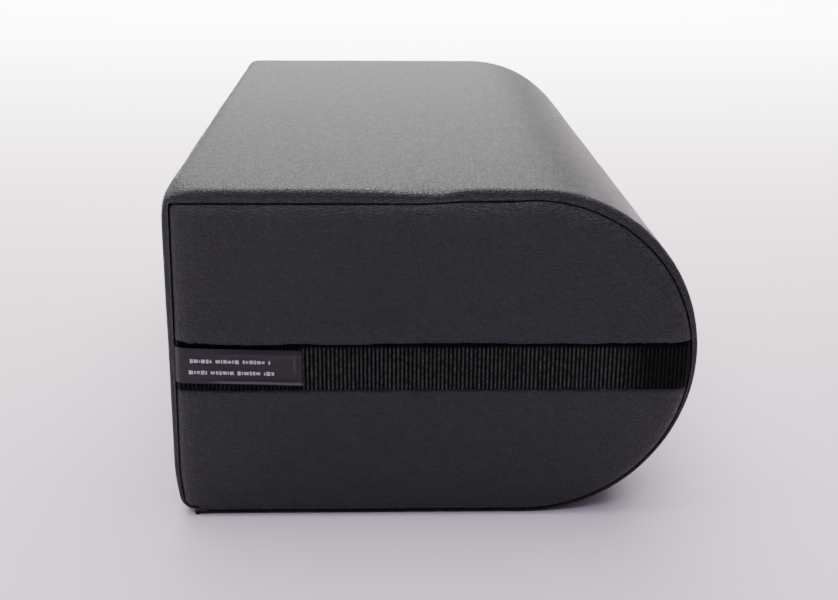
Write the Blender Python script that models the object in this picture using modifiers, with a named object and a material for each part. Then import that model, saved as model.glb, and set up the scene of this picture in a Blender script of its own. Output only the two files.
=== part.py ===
"""Dual-height leg bolster, modelled piece by piece.

A D-section foam block in a vinyl cover: one long panel wraps round the flat back, the base, the round nose
and the top, a crowned panel closes each end, and a zip along the base, beside the back, lets the foam in.
A webbing carry strap lies across the front end under a small sewn label.

Run with: blender --background --python part.py
Metres, +Z up. The origin is on the floor under the middle of the object: the flat back faces -X, the nose
faces +X and the strap is on the -Y end. It rests on its base, the low height, or on its back, the high one.
"""

import math

import bmesh
import bpy
from mathutils import Matrix

MM = 0.001

# The finished object
WIDTH = 322 * MM  # flat back to nose
HEIGHT = 209.5 * MM  # base to top
LENGTH = 563 * MM  # face of the label to the rear end
CORNER_RADIUS = 13 * MM  # the two long edges beside the back
NOSE_SEGMENTS = 28
CORNER_SEGMENTS = 4
LEAST_RADIUS = 1 * MM  # of a corner that an inset would use up

# Fits
GAP = 0.3 * MM  # left between two pieces that touch
OVERLAP = 0.3 * MM  # of shapes that are joined into one piece
SETBACK = 0.1 * MM  # keeps a joined shape's faces off the faces it stands beside
WELD = 0.001 * MM

# The cover
SKIN = 1.5 * MM  # vinyl with its knitted backing
ROLL = 8 * MM  # the wrap's edge rolls over each end to the seam
ROLL_STEPS = 2
PANEL_ROUND = 7 * MM  # round edge of a crowned end panel
CROWN = 4 * MM  # an end panel's face stands this far beyond the roll

# The strap and its label
STRAP_THICKNESS = 1.5 * MM
STRAP_WIDTH = 31.75 * MM
STRAP_CENTRE_Z = 100.7 * MM
STRAP_END_INSET = 11 * MM  # from the cover's side to the strap's end, at both ends
STRAP_END_DROP = 1.1 * MM  # the strap bends towards the seam
GRIP_FROM_BACK = (118 * MM, 208 * MM)  # the stretch that a hand lifts
LABEL_THICKNESS = 0.8 * MM
LABEL_WIDTH = 22 * MM
LABEL_FROM_BACK = (11.5 * MM, 81 * MM)
LABEL_CENTRE_Z = 101.8 * MM

# The zip: its tapes' face side is down, its coils are on the inside
ZIP_FROM_BACK = 17 * MM
SLOT_WIDTH = 11 * MM
SLOT_END = 30 * MM  # from the object's end to the slot's end
HEM_WIDTH = 12 * MM  # the base's edge is folded in over this width
TAPE_THICKNESS = 0.8 * MM
TAPE_WIDTH = 14 * MM
TAPE_BEYOND_SLOT = 8 * MM
TAPE_BEND_FROM_BACK = 9.4 * MM  # where the back's tape turns up behind the corner
TAPE_BEND_RUN = 4.2 * MM
TAPE_BEND_RISE = 3.4 * MM
COIL_WIDTH = 2.4 * MM
COIL_HEIGHT = 1.8 * MM
COIL_SPLIT = 1 * MM  # between the two sides, where the slider's divider runs
COIL_END = 5 * MM  # from the slot's front end to the coils' front end
STOP_LENGTH = 3 * MM
STOP_WIDTH = 6.6 * MM
STOP_HEIGHT = 2.2 * MM

# The slider and its pull
SLIDER_LENGTH = 12 * MM
SLIDER_WIDTH = 8 * MM
SLIDER_NOSE_WIDTH = 6 * MM
SLIDER_CLEARANCE = 0.5 * MM  # from a coil's end
ZIP_TRAVEL = 468 * MM  # from closed, at the front, to open
FACE_PLATE = 1 * MM
INNER_PLATE = 0.8 * MM
FLANGE = 0.8 * MM
DIVIDER_WIDTH = 0.4 * MM
DIVIDER_LENGTH = 3 * MM
LUG_WIDTH = 1.6 * MM
LUG_LENGTH = 4 * MM
LUG_HEIGHT = 1.9 * MM
LUG_FROM_NOSE = 3 * MM  # to the hinge line
LUG_HOLE_LENGTH = 2.2 * MM
LUG_HOLE_HEIGHT = 1.5 * MM
PULL_THICKNESS = 0.8 * MM
PULL_LENGTH = 24 * MM
PULL_WIDTH = 5 * MM
PULL_TIP_WIDTH = 6 * MM
PULL_BAR = 0.7 * MM
PULL_EYE = (2.6 * MM, 3.2 * MM)
PULL_CLEARANCE = 0.4 * MM  # under the slider's face plate

# Where things lie, worked out from the above
BACK_X = -WIDTH / 2
NOSE_RADIUS = HEIGHT / 2
NOSE_CENTRE_X = WIDTH / 2 - NOSE_RADIUS
REAR_FACE_Y = LENGTH / 2
FRONT_FACE_Y = -LENGTH / 2 + LABEL_THICKNESS + GAP + STRAP_THICKNESS + GAP
FACE_MIDDLE_Y = (FRONT_FACE_Y + REAR_FACE_Y) / 2
FACE_HALF = (REAR_FACE_Y - FRONT_FACE_Y) / 2
PANEL_INSET = ROLL + 2 * GAP
FLAT_INSET = PANEL_INSET + PANEL_ROUND
SLOT_HALF = LENGTH / 2 - SLOT_END
ZIP_X = BACK_X + ZIP_FROM_BACK
FOLD_TOP = 2 * SKIN + GAP
TAPE_Z = FOLD_TOP + GAP
COIL_Z = TAPE_Z + TAPE_THICKNESS + GAP
INNER_PLATE_Z = COIL_Z + COIL_HEIGHT + GAP
FACE_PLATE_Z = TAPE_Z - GAP - FACE_PLATE
GROOVE_TOP = INNER_PLATE_Z + INNER_PLATE + 3 * GAP
COIL_FRONT_Y = -SLOT_HALF + COIL_END
SLIDER_Y = COIL_FRONT_Y + SLIDER_CLEARANCE + SLIDER_LENGTH / 2
HINGE_Y = SLIDER_Y - SLIDER_LENGTH / 2 + LUG_FROM_NOSE
COIL_REAR_Y = SLIDER_Y + ZIP_TRAVEL + SLIDER_LENGTH / 2 + SLIDER_CLEARANCE
HINGE_Z = FACE_PLATE_Z - PULL_CLEARANCE - PULL_THICKNESS / 2

# How a flat outline, drawn in a curve's own XY, turns to lie across an axis
TURN = {
    "X": (math.radians(90), 0, math.radians(90)),
    "Y": (math.radians(90), 0, 0),
    "Z": (0, 0, 0),
}


def clear_scene():
    for obj in list(bpy.data.objects):
        bpy.data.objects.remove(obj)


def new_collection(name):
    collection = bpy.data.collections.new(name)
    bpy.context.scene.collection.children.link(collection)
    return collection


def material(name, colour, roughness, metallic=0.0):
    made = bpy.data.materials.new(name)
    made.use_nodes = True
    shader = made.node_tree.nodes["Principled BSDF"]
    shader.inputs["Base Color"].default_value = (*colour, 1)
    shader.inputs["Roughness"].default_value = roughness
    shader.inputs["Metallic"].default_value = metallic
    return made


def vinyl():
    return material("vinyl", (0.022, 0.022, 0.026), 0.45)


def foam():
    return material("foam", (0.62, 0.58, 0.42), 0.95)


def webbing():
    return material("webbing", (0.008, 0.008, 0.009), 0.8)


def label_tape():
    return material("label_tape", (0.014, 0.014, 0.017), 0.55)


def zip_tape():
    return material("zip_tape", (0.010, 0.010, 0.011), 0.85)


def zip_coil():
    return material("zip_coil", (0.012, 0.012, 0.013), 0.4)


def zip_metal():
    return material("zip_metal", (0.03, 0.03, 0.032), 0.35, metallic=0.6)


# ---- outlines ----


def arc(centre, radius, start, end, segments):
    """Points of an arc, anticlockwise from one angle to another, in degrees."""
    steps = [math.radians(start + (end - start) * i / segments) for i in range(segments + 1)]
    return [(centre[0] + radius * math.cos(a), centre[1] + radius * math.sin(a)) for a in steps]


def d_outline(inset):
    """The D section in X and Z, anticlockwise, this far inside the cover's outer skin."""
    radius = max(CORNER_RADIUS - inset, LEAST_RADIUS)
    corner_x = BACK_X + inset + radius
    base_corner = arc((corner_x, inset + radius), radius, 180, 270, CORNER_SEGMENTS)
    nose = arc((NOSE_CENTRE_X, NOSE_RADIUS), NOSE_RADIUS - inset, -90, 90, NOSE_SEGMENTS)
    top_corner = arc((corner_x, HEIGHT - inset - radius), radius, 90, 180, CORNER_SEGMENTS)
    return base_corner + nose + top_corner


def rectangle(low, high):
    return [low, (high[0], low[1]), high, (low[0], high[1])]


def band_outline(path, thickness):
    """A bent strip's edge: the path, then its parallel on the left, mitred at the bends."""
    directions = []
    for (x0, y0), (x1, y1) in zip(path, path[1:]):
        run = math.hypot(x1 - x0, y1 - y0)
        directions.append(((x1 - x0) / run, (y1 - y0) / run))
    sides = []
    for i, (x, y) in enumerate(path):
        before = directions[max(i - 1, 0)]
        after = directions[min(i, len(directions) - 1)]
        normal = (-before[1] - after[1], before[0] + after[0])
        reach = thickness * 2 / (normal[0] ** 2 + normal[1] ** 2)
        sides.append((x + normal[0] * reach, y + normal[1] * reach))
    return list(path) + sides[::-1]


# ---- objects ----


def finish(obj, look=None, parent=None, sharp_angle=35):
    """Give a mesh its material, its shading and its parent, leaving it where it is."""
    obj.data.materials.clear()
    if look:
        obj.data.materials.append(look)
    obj.data.shade_smooth()
    obj.data.set_sharp_from_angle(angle=math.radians(sharp_angle))
    if parent:
        bpy.context.view_layer.update()
        obj.parent = parent
        obj.matrix_parent_inverse = parent.matrix_world.inverted()
    return obj


def extruded(name, collection, outlines, depth, across, location=(0, 0, 0), edge=0.0):
    """A mesh from closed outlines: the first is the edge, any other is a hole. Its depth lies across an
    axis, half to each side of the location, and its rims are rounded outwards by edge."""
    curve = bpy.data.curves.new(name, "CURVE")
    curve.dimensions = "2D"
    curve.fill_mode = "BOTH"
    curve.extrude = depth / 2 - edge
    curve.bevel_depth = edge
    curve.bevel_resolution = ROLL_STEPS if edge else 0
    for points in outlines:
        spline = curve.splines.new("POLY")
        spline.points.add(len(points) - 1)
        for point, (x, y) in zip(spline.points, points):
            point.co = (x, y, 0, 1)
        spline.use_cyclic_u = True
    drawn = bpy.data.objects.new(name + "_outline", curve)
    drawn.location = location
    drawn.rotation_euler = TURN[across]
    collection.objects.link(drawn)
    bpy.context.view_layer.update()
    mesh = bpy.data.meshes.new_from_object(drawn.evaluated_get(bpy.context.evaluated_depsgraph_get()))
    mesh.name = name
    solid = bpy.data.objects.new(name, mesh)
    collection.objects.link(solid)
    solid.matrix_world = drawn.matrix_world
    bpy.data.objects.remove(drawn)
    weld(mesh)
    return solid


def weld(mesh):
    bm = bmesh.new()
    bm.from_mesh(mesh)
    bmesh.ops.remove_doubles(bm, verts=bm.verts, dist=WELD)
    bmesh.ops.recalc_face_normals(bm, faces=bm.faces)
    bm.to_mesh(mesh)
    bm.free()


def box(name, collection, low, high):
    """A box between two corners, given in world space."""
    sizes = [b - a for a, b in zip(low, high)]
    bm = bmesh.new()
    bmesh.ops.create_cube(bm, size=1, matrix=Matrix.Diagonal((*sizes, 1)))
    mesh = bpy.data.meshes.new(name)
    bm.to_mesh(mesh)
    bm.free()
    made = bpy.data.objects.new(name, mesh)
    collection.objects.link(made)
    made.location = [(a + b) / 2 for a, b in zip(low, high)]
    return made


def d_block(name, collection, inset, half_length, rim):
    """A D-section block with round rims, between two ends at equal distances from the cover's middle."""
    place = (0, FACE_MIDDLE_Y, 0)
    return extruded(name, collection, [d_outline(inset + rim)], 2 * half_length, "Y", place, rim)


def keep_faces(obj, wanted):
    """Open a mesh by removing every face whose centre, in the object's own space, isn't wanted."""
    bm = bmesh.new()
    bm.from_mesh(obj.data)
    unwanted = [face for face in bm.faces if not wanted(face.calc_center_median())]
    bmesh.ops.delete(bm, geom=unwanted, context="FACES")
    bm.to_mesh(obj.data)
    bm.free()


def thicken(obj, thickness):
    """Turn an open surface into a shell, inwards from its face side."""
    shell = obj.modifiers.new("skin", "SOLIDIFY")
    shell.thickness = thickness
    shell.offset = -1
    shell.use_even_offset = True


def combine(obj, other, operation):
    """Cut another object out of this one, or join it on. The other becomes a hidden guide."""
    step = obj.modifiers.new(operation.lower() + "_" + other.name, "BOOLEAN")
    step.operation = operation
    step.object = other
    step.solver = "EXACT"
    other.hide_render = True
    other.display_type = "WIRE"


def axis_empty(name, collection, location, parent=None):
    """An empty on a joint's axis, for the moving pieces to hang from."""
    empty = bpy.data.objects.new(name, None)
    empty.empty_display_size = 10 * MM
    collection.objects.link(empty)
    empty.location = location
    if parent:
        bpy.context.view_layer.update()
        empty.parent = parent
        empty.matrix_parent_inverse = parent.matrix_world.inverted()
    return empty


# ---- the block and its cover ----


def make_foam(parts, guides, look):
    """The foam, crowned at both ends and relieved along the zip."""
    shoulder = FACE_HALF - PANEL_ROUND - 3 * GAP
    core = d_block("foam_core", parts, SKIN + GAP, shoulder, ROLL - SKIN - GAP)
    inner_round = PANEL_ROUND - SKIN - GAP
    crown = d_block("foam_crown", guides, FLAT_INSET - inner_round, FACE_HALF - SKIN - GAP, inner_round)
    combine(core, crown, "UNION")
    beyond = 5 * MM
    groove_half = SLOT_HALF + TAPE_BEYOND_SLOT + 3 * GAP
    groove_end = ZIP_X + SLOT_WIDTH / 2 + HEM_WIDTH + 3 * GAP
    low = (BACK_X - beyond, -groove_half, -beyond)
    groove = box("foam_groove", guides, low, (groove_end, groove_half, GROOVE_TOP))
    combine(core, groove, "DIFFERENCE")
    return finish(core, look)


def make_wrap(parts, guides, look):
    """The long panel round the block, rolled over at both ends, with the zip's slot and its hems."""
    half_length = FACE_HALF - CROWN
    wrap = d_block("wrap_panel", parts, 0, half_length, ROLL)
    keep_faces(wrap, lambda centre: abs(centre.z) < half_length - WELD)
    thicken(wrap, SKIN)
    slot_low = (ZIP_X - SLOT_WIDTH / 2, -SLOT_HALF, -SKIN)
    slot_high = (ZIP_X + SLOT_WIDTH / 2, SLOT_HALF, 3 * SKIN)
    combine(wrap, box("zip_slot", guides, slot_low, slot_high), "DIFFERENCE")
    combine(wrap, make_base_hem(guides), "UNION")
    combine(wrap, make_back_edge(guides), "UNION")
    return finish(wrap, look)


def make_base_hem(guides):
    """The base's edge at the slot, turned up and folded back over itself."""
    edge = ZIP_X + SLOT_WIDTH / 2 + SETBACK
    flap_end = edge + HEM_WIDTH
    outline = [(edge, SKIN / 2), (edge + SKIN, SKIN / 2), (edge + SKIN, SKIN + GAP)]
    outline += [(flap_end, SKIN + GAP), (flap_end, FOLD_TOP), (edge, FOLD_TOP)]
    return extruded("base_hem", guides, [outline], 2 * (SLOT_HALF - SETBACK), "Y")


def make_back_edge(guides):
    """The other edge of the slot, which comes round the corner from the back and turns up."""
    edge = ZIP_X - SLOT_WIDTH / 2 - SETBACK
    outline = rectangle((edge - SKIN, SKIN / 2), (edge, FOLD_TOP))
    return extruded("back_edge", guides, [outline], 2 * (SLOT_HALF - SETBACK), "Y")


def make_end_panel(name, parts, look, end):
    """A crowned panel that closes one end: -1 is the front, 1 is the rear."""
    panel = d_block(name, parts, PANEL_INSET, FACE_HALF, PANEL_ROUND)
    rim = FACE_HALF - PANEL_ROUND
    keep_faces(panel, lambda centre: -end * centre.z > rim)
    thicken(panel, SKIN)
    return finish(panel, look)


# ---- the strap ----


def strap_stretch(name, parts, look, path, layer, thickness, width, centre_z, parent=None):
    """A stretch of webbing or tape across the front end. The path gives distances from the back and
    depths below the layer's inner face; the layer is that face's distance from the end panel."""
    line = [(BACK_X + along, FRONT_FACE_Y - layer + drop) for along, drop in path]
    outline = band_outline(line[::-1], thickness)
    stretch = extruded(name, parts, [outline], width, "Z", (0, 0, centre_z))
    return finish(stretch, look, parent)


def make_strap(parts, look, grip_empty):
    start, end = GRIP_FROM_BACK
    right = WIDTH - STRAP_END_INSET
    left_path = [(STRAP_END_INSET, STRAP_END_DROP), (FLAT_INSET, 0), (start - GAP, 0)]
    right_path = [(end + GAP, 0), (WIDTH - FLAT_INSET, 0), (right, STRAP_END_DROP)]
    size = (GAP, STRAP_THICKNESS, STRAP_WIDTH, STRAP_CENTRE_Z)
    strap_stretch("strap_left_end", parts, look, left_path, *size)
    strap_stretch("strap_grip", parts, look, [(start, 0), (end, 0)], *size, parent=grip_empty)
    strap_stretch("strap_right_end", parts, look, right_path, *size)


def make_label(parts, look):
    start, end = LABEL_FROM_BACK
    path = [(start, STRAP_END_DROP), (FLAT_INSET, 0), (end, 0)]
    layer = GAP + STRAP_THICKNESS + GAP
    strap_stretch("strap_label", parts, look, path, layer, LABEL_THICKNESS, LABEL_WIDTH, LABEL_CENTRE_Z)


# ---- the zip ----


def make_tapes(parts, look):
    """The two woven tapes; the back's one turns up inside the cover's corner."""
    split = COIL_SPLIT / 2
    tape_length = 2 * (SLOT_HALF + TAPE_BEYOND_SLOT)
    bend = BACK_X + TAPE_BEND_FROM_BACK
    back_path = [(bend - TAPE_BEND_RUN, TAPE_Z + TAPE_BEND_RISE), (bend, TAPE_Z), (ZIP_X - split, TAPE_Z)]
    base_path = [(ZIP_X + split, TAPE_Z), (ZIP_X + split + TAPE_WIDTH, TAPE_Z)]
    for name, path in (("zip_tape_back", back_path), ("zip_tape_base", base_path)):
        outline = band_outline(path, TAPE_THICKNESS)
        finish(extruded(name, parts, [outline], tape_length, "Y"), look)


def make_coils(parts, look):
    near = COIL_SPLIT / 2
    far = near + COIL_WIDTH
    for name, sides in (("zip_coil_back", (-far, -near)), ("zip_coil_base", (near, far))):
        low = (ZIP_X + sides[0], COIL_FRONT_Y, COIL_Z)
        high = (ZIP_X + sides[1], COIL_REAR_Y, COIL_Z + COIL_HEIGHT)
        finish(box(name, parts, low, high), look)


def make_stops(parts, look):
    """Moulded blocks across both tapes, just beyond the coils."""
    top_stop_y = COIL_FRONT_Y - GAP - STOP_LENGTH
    bottom_stop_y = COIL_REAR_Y + GAP
    for name, start in (("zip_top_stop", top_stop_y), ("zip_bottom_stop", bottom_stop_y)):
        low = (ZIP_X - STOP_WIDTH / 2, start, COIL_Z)
        high = (ZIP_X + STOP_WIDTH / 2, start + STOP_LENGTH, COIL_Z + STOP_HEIGHT)
        finish(box(name, parts, low, high), look)


def channel_outline():
    """The slider's inner plate with a flange down each side of the coils, seen along the zip."""
    half = SLIDER_WIDTH / 2
    inner = half - FLANGE
    top = INNER_PLATE_Z + INNER_PLATE
    shape = [(-half, COIL_Z), (-inner, COIL_Z), (-inner, INNER_PLATE_Z), (inner, INNER_PLATE_Z)]
    shape += [(inner, COIL_Z), (half, COIL_Z), (half, top), (-half, top)]
    return [(ZIP_X + x, z) for x, z in shape]


def face_plate_outline():
    """The slider's visible plate, seen from below: narrower at the nose."""
    nose = SLIDER_NOSE_WIDTH / 2
    half = SLIDER_WIDTH / 2
    front = -SLIDER_LENGTH / 2
    back = SLIDER_LENGTH / 2
    corner = 1 * MM
    shape = [(-nose + corner, front), (nose - corner, front), (nose, front + corner), (half, front + 4 * corner)]
    shape += [(half, back - corner), (half - corner, back), (-half + corner, back), (-half, back - corner)]
    shape += [(-half, front + 4 * corner), (-nose, front + corner)]
    return shape


def make_slider(parts, guides, look, slider_empty):
    """The slider: face plate, divider, inner plate with flanges, and the lug that holds the pull."""
    plate_middle = (ZIP_X, SLIDER_Y, FACE_PLATE_Z + FACE_PLATE / 2)
    slider = extruded("zip_slider", parts, [face_plate_outline()], FACE_PLATE, "Z", plate_middle)
    channel = extruded(
        "slider_channel", guides, [channel_outline()], SLIDER_LENGTH, "Y", (0, SLIDER_Y, 0)
    )
    front = SLIDER_Y - SLIDER_LENGTH / 2
    low = (ZIP_X - DIVIDER_WIDTH / 2, front + OVERLAP, FACE_PLATE_Z + FACE_PLATE - OVERLAP)
    high = (ZIP_X + DIVIDER_WIDTH / 2, front + OVERLAP + DIVIDER_LENGTH, INNER_PLATE_Z + OVERLAP)
    divider = box("slider_divider", guides, low, high)
    lug_half = LUG_LENGTH / 2
    lug_edge = rectangle((-lug_half, -LUG_HEIGHT), (lug_half, OVERLAP))
    hole_half = LUG_HOLE_LENGTH / 2
    lug_hole = rectangle((-hole_half, -LUG_HOLE_HEIGHT), (hole_half, -SETBACK))
    lug = extruded("slider_lug", guides, [lug_edge, lug_hole], LUG_WIDTH, "X", (ZIP_X, HINGE_Y, FACE_PLATE_Z))
    for piece in (divider, channel, lug):
        combine(slider, piece, "UNION")
        piece.parent = slider_empty
        piece.matrix_parent_inverse = slider_empty.matrix_world.inverted()
    return finish(slider, look, slider_empty)


def pull_outline():
    """The pull seen from below, its hinge bar at the origin and its tip along +Y."""
    half = PULL_WIDTH / 2
    tip = PULL_TIP_WIDTH / 2
    shoulder = PULL_LENGTH - tip
    start = -PULL_BAR / 2
    tip_arc = arc((0, shoulder), tip, 0, 180, 10)
    return [(-half, start), (half, start), (half, shoulder / 3)] + tip_arc + [(-half, shoulder / 3)]


def make_pull(parts, look, pull_empty):
    eye_half = PULL_EYE[0] / 2
    bar = PULL_BAR / 2
    eye = rectangle((-eye_half, bar), (eye_half, bar + PULL_EYE[1]))
    hinge = (ZIP_X, HINGE_Y, HINGE_Z)
    pull = extruded("zip_pull", parts, [pull_outline(), eye], PULL_THICKNESS, "Z", hinge)
    return finish(pull, look, pull_empty)


def build():
    clear_scene()
    parts = new_collection("leg_bolster")
    guides = new_collection("cutters_and_guides")
    cover = vinyl()
    tape = zip_tape()
    coil = zip_coil()
    metal = zip_metal()

    grip_middle = BACK_X + sum(GRIP_FROM_BACK) / 2
    grip_empty = axis_empty("strap_lift_axis", parts, (grip_middle, FRONT_FACE_Y, STRAP_CENTRE_Z))
    slider_empty = axis_empty("zip_slide_axis", parts, (ZIP_X, SLIDER_Y, TAPE_Z))
    pull_empty = axis_empty("pull_swing_axis", parts, (ZIP_X, HINGE_Y, HINGE_Z), slider_empty)
    bpy.context.view_layer.update()

    make_foam(parts, guides, foam())
    make_wrap(parts, guides, cover)
    make_end_panel("front_end_panel", parts, cover, -1)
    make_end_panel("rear_end_panel", parts, cover, 1)
    make_strap(parts, webbing(), grip_empty)
    make_label(parts, label_tape())
    make_tapes(parts, tape)
    make_coils(parts, coil)
    make_stops(parts, coil)
    make_slider(parts, guides, metal, slider_empty)
    make_pull(parts, metal, pull_empty)


build()
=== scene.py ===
"""The looks of the dual-height leg bolster: vinyl cover, webbing strap, label and zip.

Everything is in metres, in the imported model's frame: +Z up, the flat back at -X, the strap on the -Y end.
"""

import math
from contextlib import contextmanager

import bmesh
import bpy
import numpy as np
from mathutils import Matrix, Vector, noise
from mathutils.geometry import delaunay_2d_cdt


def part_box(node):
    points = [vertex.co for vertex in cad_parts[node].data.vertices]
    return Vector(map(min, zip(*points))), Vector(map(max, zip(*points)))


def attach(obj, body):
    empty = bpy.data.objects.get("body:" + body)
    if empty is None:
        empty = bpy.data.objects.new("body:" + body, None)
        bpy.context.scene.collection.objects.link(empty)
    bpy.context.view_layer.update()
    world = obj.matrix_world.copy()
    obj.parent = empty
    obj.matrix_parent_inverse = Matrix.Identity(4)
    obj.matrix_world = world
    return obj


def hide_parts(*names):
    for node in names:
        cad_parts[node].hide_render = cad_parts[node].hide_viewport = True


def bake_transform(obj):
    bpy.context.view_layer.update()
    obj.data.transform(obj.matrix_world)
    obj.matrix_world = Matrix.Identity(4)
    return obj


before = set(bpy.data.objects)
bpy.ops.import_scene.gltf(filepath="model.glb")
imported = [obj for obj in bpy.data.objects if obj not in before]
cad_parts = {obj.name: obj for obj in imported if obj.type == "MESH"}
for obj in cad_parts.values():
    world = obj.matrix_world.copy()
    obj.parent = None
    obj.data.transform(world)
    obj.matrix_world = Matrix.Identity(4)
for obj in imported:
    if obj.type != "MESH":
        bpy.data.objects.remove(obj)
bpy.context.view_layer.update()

MM = 0.001

# ---- sizes read from the frame ----

COVER_LOW, COVER_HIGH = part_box("wrap_panel")
GRIP_LOW, GRIP_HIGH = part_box("strap_grip")
TAPE_BACK_LOW, TAPE_BACK_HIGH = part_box("zip_tape_back")
TAPE_BASE_LOW, TAPE_BASE_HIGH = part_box("zip_tape_base")
COIL_LOW, COIL_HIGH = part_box("zip_coil_base")
LABEL_LOW, LABEL_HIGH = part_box("strap_label")

BACK_X = COVER_LOW.x
HEIGHT = COVER_HIGH.z
NOSE_R = HEIGHT / 2
NOSE_X = COVER_HIGH.x - NOSE_R
FRONT_CREST_Y = COVER_LOW.y
REAR_CREST_Y = COVER_HIGH.y
ZIP_X = (TAPE_BACK_HIGH.x + TAPE_BASE_LOW.x) / 2
STRAP_Z = (GRIP_LOW.z + GRIP_HIGH.z) / 2
STRAP_HALF = (GRIP_HIGH.z - GRIP_LOW.z) / 2
STRAP_THICKNESS = GRIP_HIGH.y - GRIP_LOW.y

# ---- the cover ----

CORNER_R = 9.5 * MM
ROLL_BASE = 2.8 * MM  # the rolled edge's width, side to seam, at the base
ROLL_BACK = 5.4 * MM  # at the top of the back
ROLL_NOSE = 7 * MM  # and at the top of the nose
ROLL_FLAT = 0.7 * MM  # more again on the flat of the top
ROLL_EXTRA = 1.4 * MM  # and more still between the back and the pucker
ROLL_OUT = 5 * MM  # how far the roll stands out from where the side starts to turn
FLARE = 1.1 * MM  # how far it flares out again between its turn and its crest
TURN_SHARE = 0.46  # the share of its width at which the turn ends
CREST_SHARE = 0.9  # and at which the crest lies
SEAM_DEPTH = 1.3 * MM  # from the roll's crest in to the seam
FRONT_DROOP = 1.3 * MM  # the top's front edge, rounded down by the stretched vinyl
ROLL_STEPS = 6  # in the turn; the flare and the dip have one fewer
SIDE_STEP = 8 * MM  # the mesh's spacing on the flat sides
NOSE_STEP = 6.5 * MM  # and round the nose
CORNER_STEPS = 5
SLOT_HALF = 251.5 * MM  # half the length of the gap that the zip closes
SLOT_LEFT = ZIP_X - 5.5 * MM
SLOT_RIGHT = ZIP_X + 5.5 * MM
FLAP_SHUT_X = SLOT_LEFT + 1.3 * MM  # the flap's edge beyond the zip's ends
FLAP_EASE = 14 * MM  # over which it closes there
FLAP_REACH = 60 * MM  # over which the base follows it
HEM_R = 1.7 * MM  # of the fold at the flap's edge
HEM_RETURN = 6 * MM  # how far the vinyl goes back inside the fold
HEM_LIFT = 0.6 * MM  # at the seams
SKIN = 1.2 * MM
PUCKER_X = BACK_X + 0.505 * (COVER_HIGH.x - BACK_X)  # the seam draws the front of the top down here
PUCKER_DEPTH = 3 * MM
PUCKER_LEFT = 32 * MM  # its width towards the back, where it fades slowly
PUCKER_RIGHT = 9 * MM
PUCKER_REACH = 14 * MM  # how far it reaches along the top, away from the seam
PUCKER_SWELL = 0.7 * MM  # the top swells beside it
CORNER_PINCH = 3.2 * MM  # the top back corner, drawn in and down
CORNER_WIDTH = 12 * MM

# ---- the crowned end panels ----

SEAM_GAP = 0.15 * MM
CROWN = 4 * MM  # how far the foam pushes a panel out past the roll's crest
CROWN_REACH = 4.2 * MM  # how soon the panel rises from its seam
SPINE_START = 62 * MM  # the panels' rings close round a line from here to the nose's centre
SPINE_POINTS = 14
RING_SHARE = 0.92  # how far the rings go towards that line
SEAM_SPACING = 2.4 * MM  # the least gap between two points of the seam
SHOULDER_REACH = 0.6 * MM  # how soon it leaves the seam's groove
VALLEY = 2.6 * MM  # the strap presses the panel in by this much
SWELL = 1.9 * MM  # and the vinyl above it swells out

# ---- the bottom corner by the zip, pinched in at both ends of the cover ----

PINCH_IN = 2.8 * MM
PINCH_UP = 2.8 * MM
PINCH_HEIGHT = 34 * MM

# ---- the webbing ----

RIB_PITCH = 2.48 * MM
RIB_DEPTH = 0.75 * MM
BEAD_PITCH = 1.3 * MM  # the weave's beads along a rib
STRAP_TUCK = 1.2 * MM  # how far each end goes under the rolled edge
STRAP_SINK = STRAP_THICKNESS + 1.0 * MM  # how deep each end lies in its seam
STRAP_SINK_REACH = 1.8 * MM
STRAP_ROUND = 0.35 * MM  # its rounded long edges
STRAP_STEP = RIB_PITCH / 6
FADE_START = 104 * MM  # the ribs flatten towards the right seam
FADE_END = 134 * MM

# ---- the label ----

LABEL_THICKNESS = 0.7 * MM
LABEL_DROP = 2.1 * MM  # the tape is sewn on a little below the strap's middle
LABEL_TOP = LABEL_HIGH.z - LABEL_DROP
LABEL_BOTTOM = LABEL_LOW.z - LABEL_DROP
LABEL_RIGHT = LABEL_HIGH.x
LABEL_HEM = 2 * MM  # the bottom edge, which has the finer mesh

# ---- the zip ----

COIL_PITCH = 1.25 * MM
COIL_WIRE = 0.28 * MM  # its radius
COIL_MESH = 0.35 * MM  # how far each coil reaches past the middle
STITCH_PITCH = 3.4 * MM
STITCH_LENGTH = 2.5 * MM
STITCH_MARGIN = 6 * MM  # between the rows' ends and the slot's
STITCH_Z = 0.1 * MM
THREAD_R = 0.24 * MM

# ---- the foam ----

FOAM_INSET = 7 * MM
FOAM_BASE = 9.5 * MM  # clear of the zip and its fold
FOAM_SPACING = 1.2 * MM
FOAM_ROUND = 4 * MM

# ---- the camera, solved from the photo's outline ----

CAMERA_PLACE = (-0.0342, -1.0108, 0.3826)
CAMERA_PITCH = math.radians(18.12)  # downwards
CAMERA_YAW = math.radians(1.90)  # towards +X
CAMERA_ROLL = math.radians(0.48)
CAMERA_LENS = 55.8  # in millimetres, as Blender takes it


# ==== Meshes ====


def add_object(name, data):
    item = bpy.data.objects.new(name, data)
    bpy.context.scene.collection.objects.link(item)
    return item


def new_piece(name, points, faces):
    mesh = bpy.data.meshes.new(name)
    mesh.from_pydata([tuple(p) for p in points], [], faces)
    mesh.update()
    return add_object(name, mesh)


def grid_faces(rows, columns, loop=False):
    """Quads between the points of a grid stored row by row; with loop, the last row joins the first."""
    faces = []
    for i in range(rows if loop else rows - 1):
        below = i * columns
        above = ((i + 1) % rows) * columns
        for j in range(columns - 1):
            faces.append((below + j, below + j + 1, above + j + 1, above + j))
    return faces


def points_of(piece):
    flat = np.empty(len(piece.data.vertices) * 3)
    piece.data.vertices.foreach_get("co", flat)
    return flat.reshape(-1, 3)


def move_points(piece, points):
    piece.data.vertices.foreach_set("co", np.asarray(points, float).ravel())
    piece.data.update()


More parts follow.
